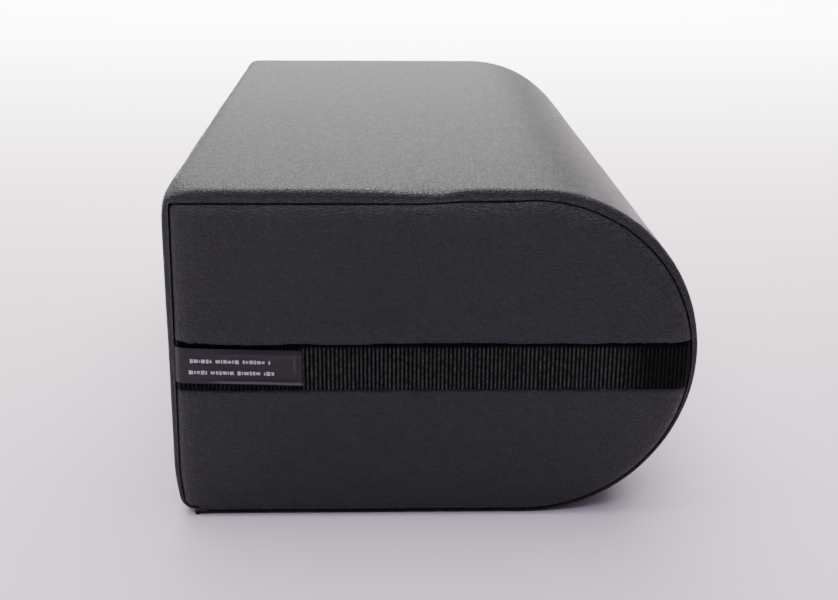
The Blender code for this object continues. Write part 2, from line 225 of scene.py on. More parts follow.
def store(piece, name, values):
    """Keep one number for each point, for the material to read."""
    attribute = piece.data.attributes.new(name, "FLOAT", "POINT")
    attribute.data.foreach_set("value", values.ravel())


def settle_modifiers(piece):
    """Make the modifiers' result the piece's own mesh."""
    graph = bpy.context.evaluated_depsgraph_get()
    mesh = bpy.data.meshes.new_from_object(piece.evaluated_get(graph))
    piece.modifiers.clear()
    piece.data = mesh


def subdivide(piece, levels):
    step = piece.modifiers.new("subdivision", "SUBSURF")
    step.levels = step.render_levels = levels
    step.boundary_smooth = "PRESERVE_CORNERS"
    settle_modifiers(piece)


def thicken(piece, thickness, offset=-1):
    step = piece.modifiers.new("thickness", "SOLIDIFY")
    step.thickness = thickness
    step.offset = offset
    step.use_even_offset = False
    settle_modifiers(piece)


def round_edges(piece, width, segments=2, angle=40):
    step = piece.modifiers.new("rounding", "BEVEL")
    step.width = width
    step.segments = segments
    step.limit_method = "ANGLE"
    step.angle_limit = math.radians(angle)
    settle_modifiers(piece)


@contextmanager
def edited(piece):
    """The piece's mesh opened for bmesh, and written back at the end."""
    bm = bmesh.new()
    bm.from_mesh(piece.data)
    yield bm
    bm.to_mesh(piece.data)
    bm.free()


def face_outwards(piece):
    with edited(piece) as bm:
        bmesh.ops.recalc_face_normals(bm, faces=bm.faces)


def face_away_from(piece, middle):
    """Turn an open surface so that its normals point away from a place."""
    total = sum(f.normal.dot(f.center - middle) * f.area for f in piece.data.polygons)
    if total < 0:
        piece.data.flip_normals()


def join(name, pieces):
    """One piece from several; each keeps its own faces."""
    bm = bmesh.new()
    for piece in pieces:
        bm.from_mesh(piece.data)
        bpy.data.objects.remove(piece)
    mesh = bpy.data.meshes.new(name)
    bm.to_mesh(mesh)
    bm.free()
    return add_object(name, mesh)


def dress(piece, look, body, nodes=(), sharp_angle=None):
    """Material, shading, body and the CAD nodes that the piece stands for."""
    piece.data.materials.clear()
    piece.data.materials.append(look)
    piece.data.shade_smooth()
    if sharp_angle:
        piece.data.set_sharp_from_angle(angle=math.radians(sharp_angle))
    if body:
        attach(piece, body)
    if nodes:
        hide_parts(*nodes)
    return piece


def noise_at(points, scale, seed):
    """Smooth noise from -1 to 1 at each point, with features of about this size (one or three numbers)."""
    points = np.asarray(points, float)
    scaled = points / scale + seed * 17.13
    return np.array([noise.noise(p) for p in scaled.reshape(-1, 3)]).reshape(points.shape[:-1])


def ease(value, start, end):
    t = np.clip((value - start) / (end - start), 0, 1)
    return t * t * (3 - 2 * t)


def hump(value, middle, width):
    return np.exp(-(((value - middle) / width) ** 2))


# ==== The D section ====


def arc_run(centre, radius, start, end, steps):
    """Points and outward normals of an arc in X and Z, angles in degrees."""
    angles = np.radians(np.linspace(start, end, steps + 1))
    normals = np.stack([np.cos(angles), np.sin(angles)], axis=1)
    return np.array(centre) + radius * normals, normals


def straight_run(start, end, normal, step):
    count = max(2, round(math.dist(start, end) / step))
    points = np.linspace(start, end, count + 1)
    return points, np.tile(normal, (count + 1, 1)).astype(float)


def chain(runs):
    """Join runs that meet end to end, without repeating the points where they meet."""
    points = np.concatenate([p if i == 0 else p[1:] for i, (p, _) in enumerate(runs)])
    normals = np.concatenate([n if i == 0 else n[1:] for i, (_, n) in enumerate(runs)])
    return points, normals


def cover_line(base_start):
    """Once round the cover from the base, over the nose, the top and the back, to the base corner."""
    corner_x = BACK_X + CORNER_R
    return chain([
        straight_run((base_start, 0), (NOSE_X, 0), (0, -1), SIDE_STEP),
        arc_run((NOSE_X, NOSE_R), NOSE_R, -90, 90, round(math.pi * NOSE_R / NOSE_STEP)),
        straight_run((NOSE_X, HEIGHT), (corner_x, HEIGHT), (0, 1), SIDE_STEP),
        arc_run((corner_x, HEIGHT - CORNER_R), CORNER_R, 90, 180, CORNER_STEPS),
        straight_run((BACK_X, HEIGHT - CORNER_R), (BACK_X, CORNER_R), (-1, 0), SIDE_STEP),
        arc_run((corner_x, CORNER_R), CORNER_R, 180, 270, CORNER_STEPS),
    ])


def spaced(line, gap):
    """The points of a closed line, without those nearer than gap to the one kept before them."""
    kept = [line[0]]
    for point in line[1:]:
        if math.dist(point, kept[-1]) >= gap and math.dist(point, kept[0]) >= gap:
            kept.append(point)
    return np.array(kept)


def nose_width(z):
    """The rolled edge is narrow at the base and wider towards the top."""
    return ROLL_BASE + (ROLL_NOSE - ROLL_BASE) * np.clip(z / HEIGHT, 0, 1) ** 1.8


def back_width(z):
    return ROLL_BASE + (ROLL_BACK - ROLL_BASE) * np.clip(z / HEIGHT, 0, 1) ** 0.6


def top_width(x):
    on_flat = ROLL_FLAT * (1 - ease(x, NOSE_X - 15 * MM, NOSE_X))
    return ROLL_NOSE + on_flat + ROLL_EXTRA * (1 - ease(x, PUCKER_X - 12 * MM, PUCKER_X + 18 * MM))


def roll_width(x, z, up):
    """The rolled edge's width at a place on the section whose normal rises by up, from -1 to 1."""
    share = np.where(up > 0, up * up, 0)
    behind = back_width(z) * (1 - share) + top_width(x) * share
    return np.where(x < NOSE_X, behind, nose_width(z))


def inset_point(x, z, across, up, share):
    """A point of the section moved in by a share of the roll's width; the top back corner stays square."""
    inset = share * (roll_width(x, z, up) + SEAM_GAP * (share >= 1))
    moved_x, moved_z = x - across * inset, z - up * inset
    at_corner = (across < 0) & (z > HEIGHT - 1.5 * CORNER_R)
    square_x = np.maximum(moved_x, BACK_X + share * back_width(z))
    square_z = np.minimum(moved_z, HEIGHT - share * top_width(x))
    return np.where(at_corner, square_x, moved_x), np.where(at_corner, square_z, moved_z)


def roll_profile():
    """The rolled edge from the side to the seam: shares of its width, and depths behind the crest.

    It turns down tightly, then flares out again to the crest beside the seam, where both skins dip in.
    """
    turn = np.radians(np.linspace(0, 90, ROLL_STEPS + 1))
    flare = np.linspace(0, 1, ROLL_STEPS)[1:]
    dip = np.radians(np.linspace(0, 88, ROLL_STEPS))[1:]
    turned = TURN_SHARE * (1 - np.cos(turn) ** 0.85)
    flared = TURN_SHARE + (CREST_SHARE - TURN_SHARE) * flare
    dipped = CREST_SHARE + (1 - CREST_SHARE) * np.sin(dip) ** 0.8
    depths = [FLARE + (ROLL_OUT - FLARE) * (1 - np.sin(turn) ** 0.85), FLARE * (1 - flare ** 1.7)]
    depths.append(SEAM_DEPTH * (1 - np.cos(dip)))
    return np.concatenate([turned, flared, dipped]), np.concatenate(depths)


def seam_distances(x, z):
    """Distances in from the seam: from the nose's arc, the top, the base and the back."""
    nose = NOSE_R - np.hypot(x - NOSE_X, z - NOSE_R) - nose_width(z)
    sides = (nose, HEIGHT - z - top_width(x), z - ROLL_BASE, x - BACK_X - back_width(z))
    return [side - SEAM_GAP for side in sides]


def seam_distance(x, z):
    nose, top, base, back = seam_distances(x, z)
    return np.where(x > NOSE_X, nose, np.minimum(np.minimum(top, base), back))


# ==== The wrap ====


def flap_edge(y):
    """Where the base's folded edge lies: beside the zip, and shut against the back's edge beyond it."""
    shut = ease(np.abs(y), SLOT_HALF - 2 * MM, SLOT_HALF + FLAP_EASE)
    return SLOT_RIGHT + (FLAP_SHUT_X - SLOT_RIGHT) * shut


def hem_rows():
    """The base's edge folded back inside: offsets from the edge, from the flap's end to the fold's foot."""
    returned = [(HEM_RETURN, 2 * HEM_R), (HEM_RETURN / 2, 2 * HEM_R)]
    turns = np.radians(np.linspace(180, 0, 7))[:-1]
    return returned + [(-HEM_R * math.sin(a), HEM_R * (1 - math.cos(a))) for a in turns]


def wrap_columns():
    """Along the cover from the front seam to the rear seam: shares of the roll's width, and places in Y."""
    shares, depths = roll_profile()
    front = FRONT_CREST_Y + depths[::-1]
    rear = REAR_CREST_Y - depths
    clear = ROLL_OUT + 3 * MM
    start, end = FRONT_CREST_Y + clear, REAR_CREST_Y - clear
    middle = np.linspace(start, end, round((end - start) / SIDE_STEP))
    zeros = np.zeros(len(middle))
    return np.concatenate([shares[::-1], zeros, shares]), np.concatenate([front, middle, rear])


def pinch(x, y, z):
    """How far the back's bottom corner is drawn in and up, near the ends of the cover."""
    at_end = ease(np.abs(y - (FRONT_CREST_Y + REAR_CREST_Y) / 2), SLOT_HALF - 12 * MM, SLOT_HALF + 10 * MM)
    low = 1 - ease(z, 0, PINCH_HEIGHT)
    inward = PINCH_IN * low * (1 - ease(x - BACK_X, 14 * MM, 60 * MM)) * (0.25 + 0.75 * at_end)
    upward = PINCH_UP * low * (1 - ease(x - BACK_X, 10 * MM, 14.5 * MM)) * at_end
    return inward, upward


def wrap_points():
    """The wrap's grid: one row for each place round the section, one column for each along the cover."""
    line, normals = cover_line(SLOT_RIGHT)
    tail, tail_normals = straight_run((BACK_X + CORNER_R, 0), (SLOT_LEFT, 0), (0, -1), SIDE_STEP)
    line = np.concatenate([line, tail[1:]])
    normals = np.concatenate([normals, tail_normals[1:]])
    shares, ys = wrap_columns()
    edge = flap_edge(ys)
    rows = []
    for along, up in hem_rows():
        rows.append(np.stack([edge + along + HEM_R, ys, up + shares * HEM_LIFT], axis=1))
    for (x, z), normal in zip(line, normals):
        at = np.full(len(ys), x)
        on_flap = normal[1] == -1 and SLOT_RIGHT <= x < SLOT_RIGHT + FLAP_REACH
        if on_flap:
            share = (x - SLOT_RIGHT) / FLAP_REACH
            at = edge + HEM_R + (SLOT_RIGHT + FLAP_REACH - edge - HEM_R) * share
        across, height = inset_point(at, np.full(len(ys), z), *normal, shares)
        row = np.stack([across, ys, height], axis=1)
        if not on_flap:
            inward, upward = pinch(*row.T)
            row[:, 0] += inward
            row[:, 2] += upward
        rows.append(row)
    return np.array(rows)


def wrap_shape(points):
    """How far the skin stands in or out of its plain section, at each point."""
    x, z = points[:, 0], points[:, 2]
    top = ease(z, HEIGHT - 20 * MM, HEIGHT - 4 * MM)
    on_base = 1 - ease(z, 1 * MM, 14 * MM)
    out = 0.35 * MM * noise_at(points, 70 * MM, 1) + 0.14 * MM * noise_at(points, 24 * MM, 2)
    out += 0.07 * MM * top * noise_at(points, (160 * MM, 15 * MM, 60 * MM), 3)
    return out * (1 - on_base) * ease(-seam_distance(x, z), 0.3 * MM, 3.2 * MM)


def seam_pull(points):
    """The front seam draws the top down at the pucker, and the top back corner in and down."""
    x, y, z = points.T
    from_front = np.maximum(y - FRONT_CREST_Y, 0)
    above_seam = np.clip(-seam_distance(x, z) / top_width(x), 0, 1)
    top = ease(z, HEIGHT - 20 * MM, HEIGHT - 9 * MM)
    pucker = np.where(x < PUCKER_X, hump(x, PUCKER_X, PUCKER_LEFT), hump(x, PUCKER_X, PUCKER_RIGHT))
    swell = hump(x, PUCKER_X + 30 * MM, 15 * MM)
    down = PUCKER_DEPTH * pucker * np.exp(-from_front / PUCKER_REACH)
    down -= PUCKER_SWELL * swell * np.exp(-from_front / (25 * MM))
    down += FRONT_DROOP * (1 - ease(x, 40 * MM, 80 * MM)) * np.exp(-from_front / (9 * MM))
    corner = np.hypot(x - BACK_X - 1 * MM, z - HEIGHT + 1 * MM)
    drawn = CORNER_PINCH * hump(corner, 0, CORNER_WIDTH) * np.exp(-from_front / (13 * MM))
    return np.stack([drawn, np.zeros_like(x), -down * top - drawn], axis=1) * above_seam[:, None]


def make_wrap(look):
    points = wrap_points()
    rows, columns = points.shape[:2]
    wrap = new_piece("vinyl_wrap", points.reshape(-1, 3), grid_faces(rows, columns))
    face_away_from(wrap, Vector((0, 0, NOSE_R)))
    subdivide(wrap, 1)
    place = points_of(wrap)
    normals = np.array([v.normal[:] for v in wrap.data.vertices])
    place += normals * wrap_shape(place)[:, None] + seam_pull(place)
    place[:, 2] = np.maximum(place[:, 2], 0)
    move_points(wrap, place)
    thicken(wrap, SKIN)
    return dress(wrap, look, "bolster", ["wrap_panel"])


# ==== The end panels ====


def side_rise(distance):
    return 1 - np.exp(-np.maximum(distance, 0) / CROWN_REACH)


def crown_at(x, z):
    """The plain crown, 0 at the seam and 1 in the middle, smooth at the corners."""
    nose, top, base, back = seam_distances(x, z)
    return np.where(x > NOSE_X, side_rise(nose), side_rise(top) * side_rise(base)) * side_rise(back)


def strap_edge_wander(x):
    """The vinyl over the strap's top edge wanders in height, and rises to the seams at both ends."""
    places = np.stack([x, np.zeros_like(x), np.zeros_like(x)], axis=-1)
    slow = 1.1 * MM * noise_at(places, 30 * MM, 5) + 0.55 * MM * noise_at(places, 9 * MM, 6)
    left = 3.4 * MM * np.exp(-np.maximum(x - BACK_X, 0) / (13 * MM))
    right = 2.6 * MM * np.exp(-np.maximum(NOSE_X + NOSE_R - x, 0) / (11 * MM))
    return slow + left + right


def strap_bed(x, z):
    """How far the strap presses the front panel in, less how far the vinyl swells beside it."""
    up = z - STRAP_Z
    top_edge = STRAP_HALF - 1.6 * MM + strap_edge_wander(x)
    rising = ease(up, -STRAP_HALF - 1.0 * MM, -STRAP_HALF + 0.4 * MM)
    inside = rising * (1 - ease(up, top_edge - 0.3 * MM, top_edge + 0.7 * MM))
    swell_above = hump(up, top_edge + 3 * MM, 7 * MM) * (up > top_edge - 1 * MM)
    swell_below = 0.25 * hump(up, -STRAP_HALF - 12 * MM, 10 * MM)
    return VALLEY * inside - SWELL * (1 - inside) * (swell_above + swell_below)


def panel_height(x, z, with_strap):
    """How far an end panel stands out from the roll's crest."""
    distance = seam_distance(x, z)
    shoulder = SEAM_DEPTH * np.exp(-np.maximum(distance, 0) / SHOULDER_REACH)
    crown = crown_at(x, z)
    height = CROWN * crown - shoulder
    if with_strap:
        height -= strap_bed(x, z) * crown
    return height


def panel_detail(x, z, seed):
    """Creases fanning in from the seam, and slow unevenness."""
    distance = seam_distance(x, z)
    angle = np.arctan2(z - NOSE_R, x - NOSE_X)
    on_nose = ease(x, NOSE_X - 10 * MM, NOSE_X + 20 * MM)
    around = np.where(x > NOSE_X, angle * NOSE_R, x)
    places = np.stack([around, distance * 0.3, np.full_like(x, seed)], axis=1)
    fan = noise_at(places, 3.2 * MM, seed) * hump(distance, 5 * MM, 5.5 * MM)
    upper = 0.35 + 0.65 * ease(z, NOSE_R, NOSE_R + 40 * MM)
    flat = np.stack([x, np.zeros_like(x), z], axis=1)
    slow = 0.22 * MM * noise_at(flat, 55 * MM, seed + 1) + 0.08 * MM * noise_at(flat, 18 * MM, seed + 2)
    return slow + fan * 0.6 * MM * (0.2 + 0.8 * on_nose * upper)


def panel_grid(rings):
    """Rings from the seam towards a short line in the panel's middle, as X and Z."""
    line, normals = cover_line(BACK_X + CORNER_R)
    seam = np.stack(inset_point(*line.T, *normals.T, np.ones(len(line))), axis=1)
    seam = spaced(seam, SEAM_SPACING)
    spine_x = np.clip(seam[:, 0], BACK_X + SPINE_START, NOSE_X)
    spine = np.stack([spine_x, np.full(len(seam), NOSE_R)], axis=1)
    shares = RING_SHARE * (np.arange(rings + 1) / rings) ** 1.2
    return seam[:, None, :] + (spine - seam)[:, None, :] * shares[None, :, None]


def make_end_panel(name, look, node, end, rings, levels):
    """One crowned panel: end is -1 at the front, 1 at the rear."""
    flat = panel_grid(rings)
    rows, columns = flat.shape[:2]
    points = np.stack([flat[..., 0], np.zeros((rows, columns)), flat[..., 1]], axis=2)
    panel = new_piece(name, points.reshape(-1, 3), grid_faces(rows, columns, loop=True))
    close_middle(panel, rows, columns)
    subdivide(panel, levels)
    place = points_of(panel)
    x, z = place[:, 0], place[:, 2]
    crest = FRONT_CREST_Y if end < 0 else REAR_CREST_Y
    height = panel_height(x, z, with_strap=end < 0) + panel_detail(x, z, 20 + end)
    place[:, 1] = crest + end * height
    inward, upward = pinch(*place.T)
    place[:, 0] += inward
    place[:, 2] += upward
    move_points(panel, place)
    if panel.data.polygons[0].normal.y * end < 0:
        panel.data.flip_normals()
    thicken(panel, SKIN)
    return dress(panel, look, "bolster", [node])


def close_middle(panel, rows, columns):
    """Fill the space inside the innermost ring, with a few more points along its middle line."""
    spine = np.linspace(BACK_X + SPINE_START, NOSE_X, SPINE_POINTS)
    edges = [(i, (i + 1) % rows) for i in range(rows)]
    with edited(panel) as bm:
        bm.verts.ensure_lookup_table()
        inside = [bm.verts[i * columns + columns - 1] for i in range(rows)]
        inside += [bm.verts.new((x, 0, NOSE_R)) for x in spine]
        places = [Vector((v.co.x, v.co.z)) for v in inside]
        _, _, triangles, origins, *_ = delaunay_2d_cdt(places, edges, [], 1, 1e-7)
        for corners in triangles:
            bm.faces.new([inside[origins[i][0]] for i in corners])
        bmesh.ops.recalc_face_normals(bm, faces=bm.faces)


# ==== The strap and its label ====


def strap_back_y(x, z):
    """Where the strap's inner face lies: on the panel's bed, and sunk into the seams at both ends."""
    sunk = STRAP_SINK * np.exp(-np.maximum(seam_distance(x, z), 0) / STRAP_SINK_REACH)
    return FRONT_CREST_Y - (CROWN - VALLEY) * crown_at(x, z) + sunk - 0.1 * MM


def seam_x(z, side):
    """Where the strap goes under the rolled edge at this height: side is -1 at the back, 1 at the nose."""
    if side < 0:
        return BACK_X + back_width(z) - STRAP_TUCK
    return NOSE_X + np.sqrt((NOSE_R - nose_width(z) + STRAP_TUCK) ** 2 - (z - NOSE_R) ** 2)


def strap_section():
    """Once round the strap's section: heights up from its middle, and shares of the thickness."""
    half = STRAP_HALF - STRAP_ROUND
    count = 2 * round(half / BEAD_PITCH)
    face = np.linspace(-half, half, 2 * count + 1)
    front = [(z, 1.0) for z in face]
    top = [(half + 0.8 * STRAP_ROUND, 0.8), (half + STRAP_ROUND, 0.5), (half + 0.8 * STRAP_ROUND, 0.15)]
    bottom = [(-z, share) for z, share in reversed(top)]
    return np.array(front + top + [(half, 0.0), (0.0, 0.0), (-half, 0.0)] + bottom)


def rib_wave(x):
    """The ribs' wave, 1 on a rib and 0 between two; its strength, fading to the right; and its phase."""
    phase = x / RIB_PITCH + 0.12 * np.sin(x / (31 * MM)) + 0.05 * np.sin(x / (7.3 * MM))
    wave = (0.5 + 0.5 * np.cos(2 * math.pi * phase)) ** 0.8
    fade = 1 - 0.8 * ease(x, FADE_START, FADE_END)
    return wave, fade, phase


def strap_points(start, end):
    """The strap's grid between two places in X, where None stands for the seam at that end."""
    section = strap_section()
    up = section[:, :1]
    z = STRAP_Z + up
    first = seam_x(z, -1) if start is None else np.full_like(z, start)
    last = seam_x(z, 1) if end is None else np.full_like(z, end)
    count = max(3, round(float((last - first).mean()) / STRAP_STEP))
    x = first + (last - first) * np.linspace(0, 1, count + 1)[None, :]
    wave, fade, phase = rib_wave(x)
    beads = 0.5 + 0.5 * np.cos(2 * math.pi * (up / BEAD_PITCH + 0.5 * np.floor(phase + 0.5)))
    relief = fade * (wave - 1 - 0.3 * (1 - beads) * wave)
    slow = 0.12 * MM * np.sin(x / (17 * MM) + up / (9 * MM))
    y = strap_back_y(x, z) - section[:, 1:] * (STRAP_THICKNESS + RIB_DEPTH * relief + slow)
    edge = 1 + 0.02 * (wave - 0.5) * fade
    # Painted highlight on the crests of the front face's ribs, strongest on the weave's beads; the material
    # paints it as lighter colour.
    painted_glint = wave ** 2.5 * (0.2 + 0.8 * beads) * fade * (section[:, 1:] > 0.9)
    # Painted shade: no highlight just below the vinyl that overhangs the strap's top edge.
    painted_glint *= 1 - ease(up, STRAP_HALF - 5.5 * MM, STRAP_HALF - 3.5 * MM)
    # Painted shade: left of the label's right end, under and beside the tape, only 0.3 of the highlight
    # stays.
    painted_glint *= 0.3 + 0.7 * ease(x, LABEL_RIGHT - 2 * MM, LABEL_RIGHT + 1 * MM)
    return np.stack([x, y, STRAP_Z + up * edge], axis=2), painted_glint


def make_strap_piece(name, look, start, end, node):
    points, painted_glint = strap_points(start, end)
    rows, columns = points.shape[:2]
    faces = grid_faces(rows, columns, loop=True)
    faces.append(tuple(i * columns for i in range(rows)))
    faces.append(tuple(i * columns + columns - 1 for i in reversed(range(rows))))
    piece = new_piece(name, points.reshape(-1, 3), faces)
    # The painted highlight on the rib crests, stored for the material.
    store(piece, "painted_glint", painted_glint)
    with edited(piece) as bm:
        bmesh.ops.triangulate(bm, faces=[f for f in bm.faces if len(f.verts) > 4])
        bmesh.ops.recalc_face_normals(bm, faces=bm.faces)
    return dress(piece, look, None, [node])


def make_strap(look):
    """The webbing in three lengths: two that stretch from the seams, and the middle that a hand lifts."""
    left = make_strap_piece("strap_left", look, None, GRIP_LOW.x, "strap_left_end")
    middle = make_strap_piece("strap_middle", look, GRIP_LOW.x, GRIP_HIGH.x, "strap_grip")
    right = make_strap_piece("strap_right", look, GRIP_HIGH.x, None, "strap_right_end")
    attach(middle, "grip")
    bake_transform(left)
    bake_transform(right)


def label_shares(x, z):
    """Where a point lies on the label: from its left end to its right, and from its bottom to its top."""
    return (x - BACK_X) / (LABEL_RIGHT - BACK_X), (z - LABEL_BOTTOM) / (LABEL_TOP - LABEL_BOTTOM)


def label_folds(x, z):
    """Ridges, 0 to 1: the turned-in top and bottom edges, and the end folded under and sewn down."""
    along, across = label_shares(x, z)
    top = 0.8 * hump(across, 0.84, 0.09) * ease(along, 0.2, 0.5)
    bottom = hump(across, 0.06, 0.05) * ease(along, 0.2, 0.45)
    end = 0.8 * hump(x, LABEL_RIGHT - 4.5 * MM, 1.1 * MM) * hump(across, 0.6, 0.4)
    return np.stack([top, bottom, end])


def label_face_y(x, z):
    """The label's outer face: on the strap, wavy, with a folded and stitched right end."""
    _, across = label_shares(x, z)
    wave = 0.25 * MM * np.sin(x / (11 * MM) + 1.3) * (across - 0.4) + 0.18 * MM * np.sin(x / (23 * MM))
    rest = strap_back_y(x, z) - STRAP_THICKNESS - LABEL_THICKNESS
    return rest - wave - 0.6 * MM * label_folds(x, z).max(axis=0)


def label_lift(x, z):
    """The tape lies a little askew: its left end is higher, and its corner droops at the right."""
    along, across = label_shares(x, z)
    droop = 0.5 * MM * ease(x, LABEL_RIGHT - 30 * MM, LABEL_RIGHT) * hump(z, LABEL_BOTTOM, 5 * MM)
    return (1.5 + 0.9 * across) * MM * (1 - along) - droop


def label_sheet(name, xs, zs, in_front=0.0):
    """A grid over the label's outer face, its normals towards the front."""
    x, z = np.meshgrid(xs, zs)
    points = np.stack([x, label_face_y(x, z) - in_front, z + label_lift(x, z)], axis=2)
    sheet = new_piece(name, points.reshape(-1, 3), grid_faces(*x.shape))
    if sheet.data.polygons[0].normal.y > 0:
        sheet.data.flip_normals()
    return sheet


def make_label(look):
    xs = np.linspace(seam_x(STRAP_Z, -1), LABEL_RIGHT, 90)
    hem = np.linspace(LABEL_BOTTOM, LABEL_BOTTOM + LABEL_HEM, 9)
    zs = np.concatenate([hem[:-1], np.linspace(LABEL_BOTTOM + LABEL_HEM, LABEL_TOP, 34)])
    label = label_sheet("label_tape", xs, zs)
    top, bottom, end = label_folds(*np.meshgrid(xs, zs))
    # How strongly each fold is painted lighter: a painted highlight of the satin's sheen on its folds.
    store(label, "fold", np.maximum(np.maximum(0.5 * top, bottom), 0.8 * end))
    thicken(label, LABEL_THICKNESS)
    round_edges(label, 0.2 * MM)
    return dress(label, look, "bolster", ["strap_label"])


def make_print(look):
    """Two rows of short dashes stand for the printed lines: they spell nothing."""
    cross = LABEL_TOP - LABEL_BOTTOM
    rows = ((LABEL_TOP - 0.36 * cross, 14 * MM, 62 * MM), (LABEL_TOP - 0.68 * cross, 13 * MM, 64 * MM))
    dashes = []
    for middle, start, end in rows:
        left = BACK_X + start
        while left < BACK_X + end:
            turn = len(dashes)
            length = (1.7 + 0.9 * math.sin(2.4 * turn)) * MM
            height = (2.05 + 0.4 * math.cos(1.7 * turn)) * MM
            dashes.append(print_dash(left, length, middle, height))
            left += length + (2.3 if turn % 6 == 5 else 0.6) * MM
    return dress(join("label_print", dashes), look, "bolster")


def print_dash(left, length, middle, height):
    xs = np.linspace(left, left + length, 5)
    zs = np.linspace(middle - height / 2, middle + height / 2, 4)
    dash = label_sheet("dash", xs, zs, in_front=0.05 * MM)
    thicken(dash, 0.08 * MM, offset=0)
    return dash


# ==== The zip ====


def make_tape(name, look, low, high, node):
    """One zip tape, gently waved. The back's tape is the higher one, because its sewn edge turns up."""
    xs = np.linspace(low.x, high.x, 14)
    ys = np.linspace(low.y, high.y, 120)
    x, y = np.meshgrid(xs, ys, indexing="ij")
    middle = TAPE_BASE_LOW.z + 0.4 * MM
    turn_up = (high.z - TAPE_BASE_HIGH.z) * (1 - ease(x, low.x, low.x + 3.5 * MM))
    z = middle + 0.05 * MM * np.sin(y / (9 * MM) + x / (4 * MM)) + turn_up
    tape = new_piece(name, np.stack([x, y, z], axis=2).reshape(-1, 3), grid_faces(*x.shape))
    if tape.data.polygons[0].normal.z > 0:
        tape.data.flip_normals()
    thicken(tape, TAPE_BASE_HIGH.z - TAPE_BASE_LOW.z - 0.1 * MM, offset=0)
    round_edges(tape, 0.2 * MM)
    return dress(tape, look, "bolster", [node])


def make_coil(name, look, side, node):
    """A nylon coil: one long flattened helix; side is -1 at the back and 1 on the base."""
    half_height = (COIL_HIGH.z - COIL_LOW.z) / 2 - COIL_WIRE
    reach = COIL_HIGH.x - ZIP_X
    half_width = (reach + COIL_MESH) / 2 - COIL_WIRE
    centre_x = ZIP_X + side * (reach - COIL_MESH) / 2
    centre_z = (COIL_LOW.z + COIL_HIGH.z) / 2
    lag = 0.0 if side > 0 else COIL_PITCH / 2
    turns = int((COIL_HIGH.y - COIL_LOW.y - 2 * COIL_WIRE) / COIL_PITCH)
    steps = 10
    curve = bpy.data.curves.new(name, "CURVE")
    curve.dimensions = "3D"
    curve.bevel_depth = COIL_WIRE
    curve.bevel_resolution = 0
    curve.use_fill_caps = True
    spline = curve.splines.new("POLY")
    spline.points.add(turns * steps)
    for i, point in enumerate(spline.points):
        angle = 2 * math.pi * i / steps
        x = centre_x - side * half_width * math.cos(angle)
        y = COIL_LOW.y + COIL_WIRE + lag + COIL_PITCH * i / steps
        point.co = (x, y, centre_z + half_height * math.sin(angle), 1)
    holder = add_object(name + "_curve", curve)
    graph = bpy.context.evaluated_depsgraph_get()
    mesh = bpy.data.meshes.new_from_object(holder.evaluated_get(graph))
    bpy.data.objects.remove(holder)
    return dress(add_object(name, mesh), look, "bolster", [node])


def copy_of_node(name, node, look, body, width):
    """A node's own shape with its edges softened, in a new object that stands for the node."""
    piece = add_object(name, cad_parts[node].data.copy())
    with edited(piece) as bm:
        bmesh.ops.remove_doubles(bm, verts=bm.verts, dist=0.01 * MM)
        bmesh.ops.dissolve_limit(bm, angle_limit=math.radians(2), verts=bm.verts, edges=bm.edges)
    round_edges(piece, width, 3, 30)
    return dress(piece, look, body, [node], sharp_angle=40)


def stitch(start, end, radius):
    """One visible stitch: a short round-ended thread, pulled up into the vinyl at both ends."""
    rings = 7
    sides = 6
    axis = Vector(end) - Vector(start)
    points = []
    for i in range(rings):
        share = i / (rings - 1)
        taper = math.sin(math.pi * min(max(share, 0.04), 0.96)) ** 0.4
        rise = radius * 1.1 * (2 * share - 1) ** 4
        for j in range(sides):
            angle = 2 * math.pi * j / sides
            side = Vector((math.cos(angle) * radius * taper, 0, math.sin(angle) * radius * taper + rise))
            points.append(Vector(start) + axis * share + side)
    faces = []
    for low in range(0, (rings - 1) * sides, sides):
        for j in range(sides):
            beside = (j + 1) % sides
            faces.append((low + j, low + beside, low + sides + beside, low + sides + j))
    faces.append(tuple(reversed(range(sides))))
    faces.append(tuple(range((rings - 1) * sides, rings * sides)))
    return points, faces


def make_topstitch(name, look, x):
    """A row of stitches beside the zip."""
    points, faces = [], []
    count = int(2 * (SLOT_HALF - STITCH_MARGIN) / STITCH_PITCH)
    for i in range(count):
        y = -SLOT_HALF + STITCH_MARGIN + i * STITCH_PITCH
        new_points, new_faces = stitch((x, y, STITCH_Z), (x, y + STITCH_LENGTH, STITCH_Z), THREAD_R)
        faces += [tuple(k + len(points) for k in face) for face in new_faces]
        points += new_points
    row = new_piece(name, points, faces)
    face_outwards(row)
    return dress(row, look, "bolster")


# ==== The foam ====


def make_foam(look):
    """The block inside the cover: the same D, a little smaller, with softened edges."""
    line, normals = cover_line(BACK_X + CORNER_R)
    outline = line - normals * FOAM_INSET
    outline[:, 1] = np.maximum(outline[:, 1], FOAM_BASE)
    outline = spaced(outline, FOAM_SPACING)
    ends = (FRONT_CREST_Y + FOAM_INSET, REAR_CREST_Y - FOAM_INSET)
    points = [(x, y, z) for y in ends for x, z in outline]
    count = len(outline)
    faces = [(i, (i + 1) % count, count + (i + 1) % count, count + i) for i in range(count)]
    faces += [tuple(range(count)), tuple(reversed(range(count, 2 * count)))]
    foam = new_piece("foam_block", points, faces)
    face_outwards(foam)
    round_edges(foam, FOAM_ROUND, 3, 50)
    dress(foam, look, "bolster", ["foam_core"], sharp_angle=50)
    return foam


# ==== Materials ====


def with_alpha(colour):
    """A plain colour as a shader takes it; a node's output stays as it is."""
    return (*colour, 1) if isinstance(colour, tuple) else colour


